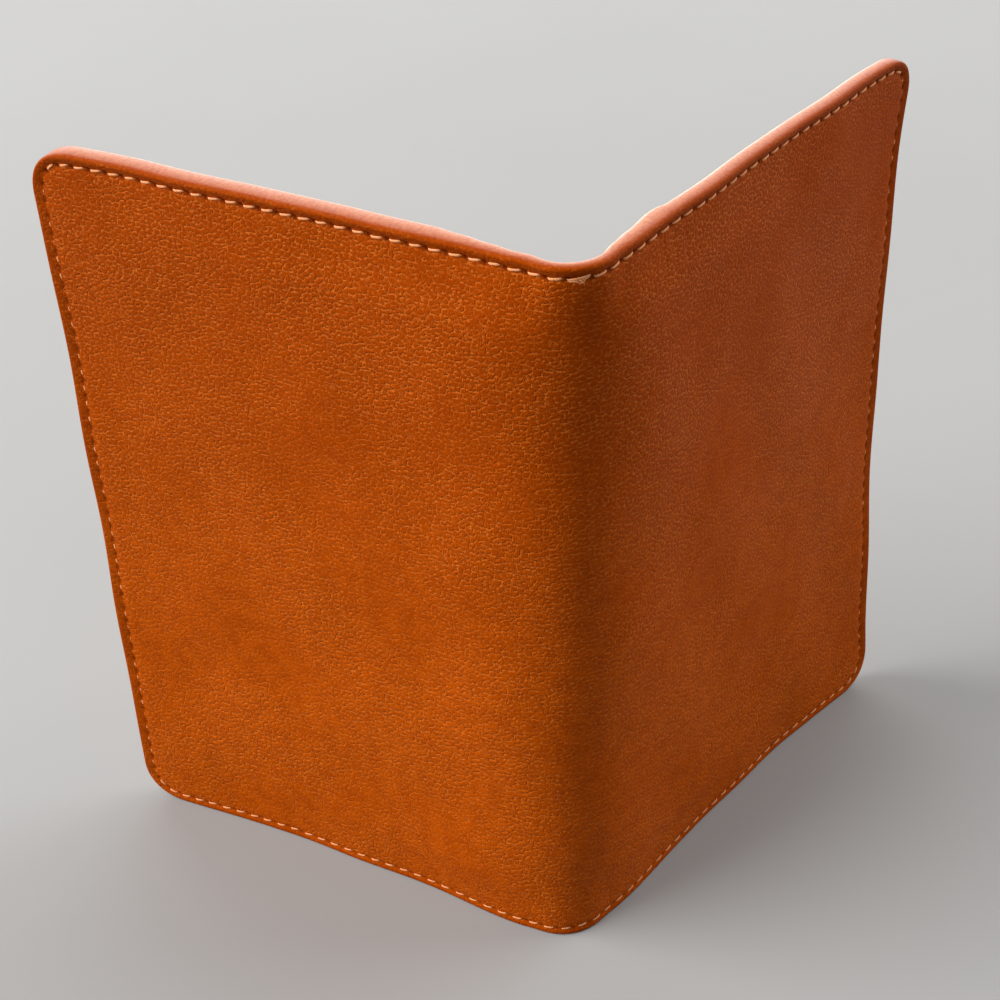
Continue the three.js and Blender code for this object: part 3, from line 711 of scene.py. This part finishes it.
def cover_leather(hand):
    """Half of the outer hide, from the nose of the spine out, with its edge turned in as a hem."""
    run_cells = np.concatenate([[0.0, NOSE_CELL * RUN_CELLS / RUN], np.arange(1, RUN_CELLS + 1)])
    turn_1 = RUN_CELLS + np.arange(1, CORNER_CELLS)
    side = RUN_CELLS + CORNER_CELLS + np.arange(SIDE_CELLS + 1)
    turn_2 = side[-1] + np.arange(1, CORNER_CELLS)
    cell = np.concatenate([run_cells, turn_1, side, turn_2, PATH_CELLS - run_cells[::-1]]).astype(float)
    last_column, last_row = len(COLUMNS) - 1, SIDE_CELLS
    at_column = np.concatenate([
        np.arange(len(COLUMNS)), np.full(len(turn_1) + len(side) + len(turn_2), last_column),
        np.arange(len(COLUMNS))[::-1],
    ])
    at_row = np.concatenate([
        np.zeros(len(COLUMNS) + len(turn_1), int), np.arange(len(side)),
        np.full(len(turn_2) + len(COLUMNS), last_row),
    ])
    inset, level, holes, fade = edge_profile(cell, COLUMNS[at_column], hand)
    stations, points = inset.shape
    s, z = on_path(cell[:, None], inset)
    girth = np.cumsum(np.hypot(np.diff(inset, axis=1), np.diff(level, axis=1)), axis=1)
    unrolled = CORNER_RADIUS - np.hstack([np.zeros((stations, 1)), girth])
    laid_s, laid_z = on_path(cell[:, None], unrolled)

    grid_s, grid_z = np.meshgrid(COLUMNS, HEIGHTS, indexing="ij")
    face_id = np.arange(grid_s.size).reshape(grid_s.shape)
    ring_id = np.zeros((stations, points), int)
    ring_id[:, 0] = face_id[at_column, at_row]
    between = np.arange(stations * (points - 2)).reshape(stations, points - 2)
    ring_id[:, 1:-1] = face_id.size + between
    rows = sorted({*range(0, last_row, UNDER_STEP), last_row})
    under = np.full(grid_s.shape, -1)
    under[:, rows] = 0
    under[-1, :] = 0
    under_s, under_z = grid_s[under == 0], grid_z[under == 0]
    under[under == 0] = face_id.size + between.size + np.arange(len(under_s))
    ring_id[:, -1] = under[at_column, at_row]

    inner = slice(1, -1)
    flat = np.concatenate([
        np.stack([grid_s.ravel(), np.zeros(grid_s.size), grid_z.ravel()], axis=1),
        np.stack([s[:, inner].ravel(), level[:, inner].ravel(), z[:, inner].ravel()], axis=1),
        np.stack([under_s, np.full(len(under_s), COVER_LEATHER), under_z], axis=1),
    ])
    hide = flat[:, [0, 2, 1]].copy()
    hide[:, 2] = 0.0
    ring = slice(face_id.size, face_id.size + between.size)
    hide[ring, 0] = laid_s[:, inner].ravel()
    hide[ring, 1] = laid_z[:, inner].ravel()
    marks = {"hole": np.zeros(len(flat)), "rim": np.zeros(len(flat)), "along": np.zeros(len(flat))}
    marks["hole"][ring] = holes[:, inner].ravel()
    marks["rim"][ring] = fade[:, inner].ravel()
    marks["along"][ring] = np.repeat(cell, points - 2)

    faces = []
    for i in range(last_column):
        for j in range(last_row):
            faces.append([face_id[i, j], face_id[i + 1, j], face_id[i + 1, j + 1], face_id[i, j + 1]])
    for k in range(stations - 1):
        for p in range(points - 1):
            quad = [ring_id[k, p], ring_id[k, p + 1], ring_id[k + 1, p + 1], ring_id[k + 1, p]]
            if quad[1] == quad[2]:
                quad.pop(2)
            if quad[0] == quad[-1]:
                quad.pop()
            faces.append(quad)
    for low, high in zip(rows[:-1], rows[1:]):
        for i in range(last_column - 1):
            faces.append([under[i, low], under[i, high], under[i + 1, high], under[i + 1, low]])
        edge = [under[last_column, j] for j in range(high, low - 1, -1)]
        faces.append([under[last_column - 1, low], under[last_column - 1, high], *edge])
    cap = [*face_id[0, :], *ring_id[-1, 1:], *[under[0, r] for r in rows[-2:0:-1]], *ring_id[0, :0:-1]]
    faces.append(cap)
    faces = [[int(v) for v in face] for face in faces]
    name = BODY[hand] + "_cover_leather"
    piece = add_piece(name, flat, faces, hand, OUTER_LEATHER, marks, hide, flat_faces=1)
    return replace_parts(piece, BODY[hand] + "_cover", "spine_cover")


# Stitches
def tubes(strands):
    """Flat points and faces of thread strands, each a line of flat points with a radius at every one."""
    points, faces, count = [], [], 0
    turn = np.arange(THREAD_SIDES) * math.tau / THREAD_SIDES
    for line, radii in strands:
        ahead = np.gradient(line, axis=0)
        ahead /= np.linalg.norm(ahead, axis=1)[:, None]
        side = np.cross(ahead, np.array([0.0, 1.0, 0.0]))
        side /= np.linalg.norm(side, axis=1)[:, None]
        over = np.cross(side, ahead)
        ring = side[:, None] * np.cos(turn)[:, None]
        ring = ring + THREAD_FLATNESS * over[:, None] * np.sin(turn)[:, None]
        points.append((line[:, None] + radii[:, None, None] * ring).reshape(-1, 3))
        for k in range(len(line) - 1):
            for j in range(THREAD_SIDES):
                a = count + k * THREAD_SIDES + j
                b = count + k * THREAD_SIDES + (j + 1) % THREAD_SIDES
                faces.append([a, b, b + THREAD_SIDES, a + THREAD_SIDES])
        last = count + (len(line) - 1) * THREAD_SIDES
        faces.append([count + j for j in range(THREAD_SIDES)][::-1])
        faces.append([last + j for j in range(THREAD_SIDES)])
        count += len(points[-1])
    return np.concatenate(points), faces


def spine_tie(side):
    """The seam's end at the head of the spine: a doubled stitch over the nose, with loose fibres outside."""
    along = np.linspace(-1.0, 1.0, TIE_POINTS)
    rise = 1.0 - np.abs(along) ** STITCH_SQUARE
    strands = []
    for part in (-1.0, 1.0):
        drift = TIE_PARTING * part * (TIE_CLOSED + (1.0 - TIE_CLOSED) * rise) + TIE_SLANT * along
        z = COVER_HEIGHT - STITCH_INSET + drift
        sunk = STITCH_SUNK - (TIE_RISE + TIE_STAGGER * part) * rise
        depth = sunk if side == "needle" else SPINE_RIM + BOBBIN_PROUD - sunk
        radii = THREAD_RADIUS * (TIE_END_RADIUS + TIE_CROWN_RADIUS * rise)
        strands.append((np.stack([TIE_REACH * along, depth, z], axis=1), radii))
    if side == "needle":
        for start, reach, drop in TIE_FIBRES:
            way = np.linspace(0.0, 1.0, FIBRE_POINTS)
            s = start + reach * way + FIBRE_SWAY * np.sin(FIBRE_TURN * way + FIBRE_PHASE * start)
            z = COVER_HEIGHT - STITCH_INSET - TIE_PARTING - drop * way
            depth = -FIBRE_LIFT - FIBRE_ARCH * np.sin(math.pi * np.minimum(FIBRE_LANDS * way, 1.0))
            strands.append((np.stack([s, depth, z], axis=1), FIBRE_RADIUS * (1.0 - FIBRE_TAPER * way)))
    return strands


def stitch_row(hand, side):
    """One row of lockstitch: each stitch rises from a needle hole, lies in the groove and dips again."""
    strands = []
    along = np.linspace(0.0, 1.0, THREAD_RINGS)
    lean = hand * (1.0 if side == "needle" else -1.0) * STITCH_SLANT
    for stitch in range(PATH_CELLS // CELLS_PER_STITCH):
        first = stitch * CELLS_PER_STITCH
        centre = first + CELLS_PER_STITCH / 2.0
        upright = RUN_CELLS + CORNER_CELLS / 2 < centre < PATH_CELLS - RUN_CELLS - CORNER_CELLS / 2
        share = UPRIGHT_SHARE if upright else STITCH_SHARE
        cells = centre + CELLS_PER_STITCH * share * (along - 0.5) + rng.normal(0.0, JITTER["along"])
        rise = 1.0 - np.abs(2.0 * along - 1.0) ** STITCH_SQUARE
        rise = rise * (1.0 + rng.normal(0.0, JITTER["rise"]))
        sunk = STITCH_SUNK - (UPRIGHT_RISE if upright else STITCH_RISE) * rise
        mid_s = on_path(np.array([centre]), STITCH_INSET)[0]
        rim = rim_depth(np.minimum(mid_s, RUN), hand)[0]
        depths = sunk if side == "needle" else rim + BOBBIN_PROUD - sunk
        insets = seam_inset(cells) + lean * share * (2.0 * along - 1.0) + rng.normal(0.0, JITTER["inset"])
        radii = THREAD_RADIUS * (UPRIGHT_THIN if upright else 1.0) * (END_RADIUS + CROWN_RADIUS * rise)
        s, z = on_path(cells, insets)
        strands.append((np.stack([s, depths, z], axis=1), radii))
    if hand == FRONT:
        strands.extend(spine_tie(side))
    flat, faces = tubes(strands)
    name = f"{BODY[hand]}_{side}_stitches"
    piece = add_piece(name, flat, faces, hand, SEAM_THREAD)
    spine_threads = [f"spine_{side}_thread_top", f"spine_{side}_thread_bottom"]
    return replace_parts(piece, f"{BODY[hand]}_{side}_thread", *spine_threads)


# Inner layers, with the spacing of their mesh lines
MOUTH_LINES = np.array([0.45, 0.9, 1.4, 1.9, 2.15, 2.4, 2.65, 2.9, 3.6, 4.6, 6.0, 8.0])
POCKET_BODY = {"after": 2.5, "before": 16.0, "lines": 18}
POCKET_END, POCKET_END_LINES = 14.0, 12
MOUTH_ROUND_LINES = 7
POCKET_ROWS, POCKET_END_STEP, POCKET_END_ROWS = 34, 1.2, 11
LINING_SPINE, LINING_SPINE_LINES = 6.0, 24
LINING_PANEL, LINING_PANEL_LINES, LINING_ROWS = 8.5, 36, 64
LINING_STEP_FROM, LINING_STEP_SPAN = 1.0, 2.0
BOARD_EDGE_LINES = np.array([0.0, 0.7, 1.5, 2.5, 4.0])
BOARD_BODY, BOARD_LINES, BOARD_ROWS = 10.0, 32, 52
FACE_UPPER = 0.99


def slab(section_s, section_depth, rows_z):
    """A closed layer: a loop of section points carried up the rows, with both ends capped.

    section_s is the loop's distances; section_depth gives the loop's depths at each height.
    """
    loop = len(section_s)
    depth = np.stack([section_depth(z) for z in rows_z])
    s = np.tile(section_s, (len(rows_z), 1))
    z = np.repeat(rows_z[:, None], loop, axis=1)
    flat = np.stack([s.ravel(), depth.ravel(), z.ravel()], axis=1)
    faces = []
    for row in range(len(rows_z) - 1):
        for k in range(loop):
            a, b = row * loop + k, row * loop + (k + 1) % loop
            faces.append([a, b, b + loop, a + loop])
    faces.append(list(range(loop))[::-1])
    faces.append([(len(rows_z) - 1) * loop + k for k in range(loop)])
    return flat, faces


def dense_ends(low, high, count, end_step, end_count):
    """Positions from low to high, closer together near both ends."""
    near = np.arange(end_count) * end_step
    between = np.linspace(low + near[-1] + end_step, high - near[-1] - end_step, count)
    return np.concatenate([low + near, between, (high - near)[::-1]])


def pocket(name, hand, mouth, level, thickness, rise):
    """A leather pocket sewn in on three sides, its mouth edge rounded, creased and a little open."""
    start, end = FOLD_AT + mouth, EDGE_AT - SEWN_INSET
    crease = start + MOUTH_CREASE
    near = start + MOUTH_LINES
    b = POCKET_BODY
    body = np.linspace(near[-1] + b["after"], end - b["before"], b["lines"])
    top = np.concatenate([near, body, np.linspace(end - POCKET_END, end, POCKET_END_LINES)])
    swing = np.radians(np.linspace(90.0, -90.0, MOUTH_ROUND_LINES))
    nose_s = start + thickness / 2.0 * (1.0 - np.cos(swing))
    section_s = np.concatenate([top[::-1], nose_s, top])
    upper = np.concatenate([np.ones(len(top)), (1.0 + np.sin(swing)) / 2.0, np.zeros(len(top))])
    pressed = CREASE_DEPTH * np.exp(-((section_s - crease) / CREASE_WIDTH) ** 2) * (upper > FACE_UPPER)

    def raised(s, z):
        lift = smooth((EDGE_AT - s - POCKET_RAISED_FROM) / POCKET_SLOPE)
        lift = lift * smooth((z - POCKET_RAISED_FROM) / POCKET_SLOPE)
        lift = lift * smooth((COVER_HEIGHT - z - POCKET_RAISED_FROM) / POCKET_SLOPE)
        open_share = np.exp(-(s - start) / GAPE_REACH) * np.sin(math.pi * z / COVER_HEIGHT) ** 2
        return rise * lift + MOUTH_GAPE * open_share

    def depth(z):
        return level + raised(section_s, z) + thickness * upper - pressed

    high = COVER_HEIGHT - SEWN_INSET
    rows_z = dense_ends(SEWN_INSET, high, POCKET_ROWS, POCKET_END_STEP, POCKET_END_ROWS)
    flat, faces = slab(section_s, depth, rows_z)
    hide = flat[:, [0, 2, 1]].copy()
    hide[:, 0] += GRAIN_SHIFT * level
    hide[:, 2] = 0.0
    over = np.tile(upper, len(rows_z))
    # The mouth's edge takes the rim mark: rubbed wear and a painted highlight in the hide's colour
    worn_and_highlight = np.tile(np.exp(-((section_s - start) / MOUTH_WORN) ** 2), len(rows_z)) * over
    marks = {"rim": worn_and_highlight, "hole": np.zeros(len(flat))}
    piece = add_piece(name, flat, faces, hand, INNER_LEATHER, marks, hide, flat_faces=2)
    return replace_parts(piece, name)


def lining(hand):
    """The cloth glued inside half the cover, over the spine and the stiff board."""
    spine = np.linspace(0.0, FOLD_AT + LINING_SPINE, LINING_SPINE_LINES)
    panel = np.linspace(FOLD_AT + LINING_PANEL, EDGE_AT - SEWN_INSET, LINING_PANEL_LINES)
    along = np.concatenate([spine, panel])
    section_s = np.concatenate([along[::-1], along])
    upper = np.concatenate([np.ones(len(along)), np.zeros(len(along))])
    step = smooth((section_s - FOLD_AT - LINING_STEP_FROM) / LINING_STEP_SPAN)
    base = SPINE_LINING_LEVEL + (PANEL_LINING_LEVEL - SPINE_LINING_LEVEL) * step
    rows_z = np.linspace(SEWN_INSET, COVER_HEIGHT - SEWN_INSET, LINING_ROWS)
    flat, faces = slab(section_s, lambda z: base + LINING * upper, rows_z)
    name = BODY[hand] + "_lining_cloth"
    piece = add_piece(name, flat, faces, hand, LINING_CLOTH, flat_faces=2)
    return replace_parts(piece, BODY[hand] + "_lining", "spine_lining")


def board(hand):
    """The stiffener between the cover and its lining."""
    near = FOLD_AT + BOARD_START + BOARD_EDGE_LINES
    body = np.linspace(FOLD_AT + BOARD_BODY, EDGE_AT - BOARD_INSET, BOARD_LINES)
    along = np.concatenate([near, body])
    section_s = np.concatenate([along[::-1], along])
    upper = np.concatenate([np.ones(len(along)), np.zeros(len(along))])
    rows_z = np.linspace(BOARD_INSET, COVER_HEIGHT - BOARD_INSET, BOARD_ROWS)
    flat, faces = slab(section_s, lambda z: BOARD_LEVEL + BOARD * upper, rows_z)
    name = BODY[hand] + "_stiff_board"
    piece = add_piece(name, flat, faces, hand, STIFF_BOARD, flat_faces=2)
    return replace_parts(piece, BODY[hand] + "_board")


# Stage, light and camera
FLOOR_RADIUS, FLOOR_SIDES = 1.5, 96
SKY_LIGHT, SKY_LIGHT_TINT = 0.37, (0.94, 0.97, 1.0, 1.0)
SKY_SEEN, SKY_SEEN_TINT = 0.56, (1.0, 0.99, 0.98, 1.0)
LIT_POINT = (0.0, 0.0, 0.07)
SOFTBOXES = {
    "left_softbox": {"place": (-1.8, 0.12, 1.2), "width": 1.8, "height": 1.4, "power": 78.0},
    "right_softbox": {"place": (1.9, 0.4, 1.1), "width": 1.8, "height": 1.4, "power": 37.0},
    "rear_softbox": {"place": (0.2, 1.6, 0.75), "width": 2.6, "height": 1.4, "power": 30.0},
}


def stage_floor():
    """A plain round floor, which isn't part of the wallet."""
    turn = np.arange(FLOOR_SIDES) * math.tau / FLOOR_SIDES
    round_edge = FLOOR_RADIUS * np.stack([np.cos(turn), np.sin(turn), 0.0 * turn], axis=1)
    mesh = bpy.data.meshes.new("floor")
    mesh.from_pydata(round_edge.tolist(), [], [list(range(FLOOR_SIDES))])
    mesh.materials.append(pale_floor("pale_floor"))
    floor = bpy.data.objects.new("floor", mesh)
    bpy.context.scene.collection.objects.link(floor)


def softbox(name, place, width, height, power):
    """A soft rectangular lamp turned towards the wallet."""
    light = bpy.data.lights.new(name, "AREA")
    light.shape = "RECTANGLE"
    light.size, light.size_y = width, height
    light.energy = power
    lamp = bpy.data.objects.new(name, light)
    lamp.location = place
    lamp.rotation_mode = "QUATERNION"
    lamp.rotation_quaternion = (Vector(LIT_POINT) - Vector(place)).to_track_quat("-Z", "Y")
    bpy.context.scene.collection.objects.link(lamp)


def soft_sky():
    """An even sky: dim in the light it gives the wallet, pale to the eye and in reflections."""
    world = bpy.data.worlds.new("soft_sky")
    world.use_nodes = True
    nodes, links = world.node_tree.nodes, world.node_tree.links
    light = nodes["Background"]
    light.inputs["Color"].default_value = SKY_LIGHT_TINT
    light.inputs["Strength"].default_value = SKY_LIGHT
    pale = nodes.new("ShaderNodeBackground")
    pale.inputs["Color"].default_value = SKY_SEEN_TINT
    pale.inputs["Strength"].default_value = SKY_SEEN
    ray = nodes.new("ShaderNodeLightPath").outputs
    seen = ray["Is Camera Ray"]
    for kind in ("Is Glossy Ray", "Is Transmission Ray"):
        either = nodes.new("ShaderNodeMath")
        either.operation = "MAXIMUM"
        links.new(seen, either.inputs[0])
        links.new(ray[kind], either.inputs[1])
        seen = either.outputs[0]
    mix = nodes.new("ShaderNodeMixShader")
    links.new(seen, mix.inputs[0])
    links.new(light.outputs[0], mix.inputs[1])
    links.new(pale.outputs[0], mix.inputs[2])
    links.new(mix.outputs[0], nodes["World Output"].inputs["Surface"])
    bpy.context.scene.world = world


# The camera stands where the photograph was taken from
CAMERA_AZIMUTH = math.radians(-11.493)
CAMERA_ELEVATION = math.radians(36.71)
CAMERA_ROLL = math.radians(-1.667)
CAMERA_TARGET = Vector((-5.851, NOSE_Y + 32.11, 82.736)) * MM
CAMERA_DISTANCE = 290.46 * MM
FOCAL_SHARE = 1.6374


def camera():
    """The view of the photograph, with the image's roll."""
    data = bpy.data.cameras.new("camera")
    data.sensor_width = 36.0
    data.lens = FOCAL_SHARE * data.sensor_width
    data.clip_start, data.clip_end = 0.01, 20.0
    level = math.cos(CAMERA_ELEVATION)
    back_x, back_y = math.sin(CAMERA_AZIMUTH) * level, -math.cos(CAMERA_AZIMUTH) * level
    back = Vector((back_x, back_y, math.sin(CAMERA_ELEVATION)))
    right = (-back).cross(Vector((0.0, 0.0, 1.0))).normalized()
    up = right.cross(-back)
    rolled_right = right * math.cos(CAMERA_ROLL) + up * math.sin(CAMERA_ROLL)
    rolled_up = up * math.cos(CAMERA_ROLL) - right * math.sin(CAMERA_ROLL)
    turn = Matrix((rolled_right, rolled_up, back)).transposed().to_4x4()
    view = bpy.data.objects.new("camera", data)
    view.matrix_world = Matrix.Translation(CAMERA_TARGET + back * CAMERA_DISTANCE) @ turn
    bpy.context.scene.collection.objects.link(view)
    bpy.context.scene.camera = view


bpy.context.scene.view_settings.view_transform = "Standard"
camera()
for lamp_name, lamp_sizes in SOFTBOXES.items():
    softbox(lamp_name, **lamp_sizes)
soft_sky()
stage_floor()
for half in (FRONT, BACK):
    cover_leather(half)
    stitch_row(half, "needle")
    stitch_row(half, "bobbin")
    lining(half)
    board(half)
for pocket_name, sizes in POCKETS.items():
    pocket(pocket_name, **sizes)
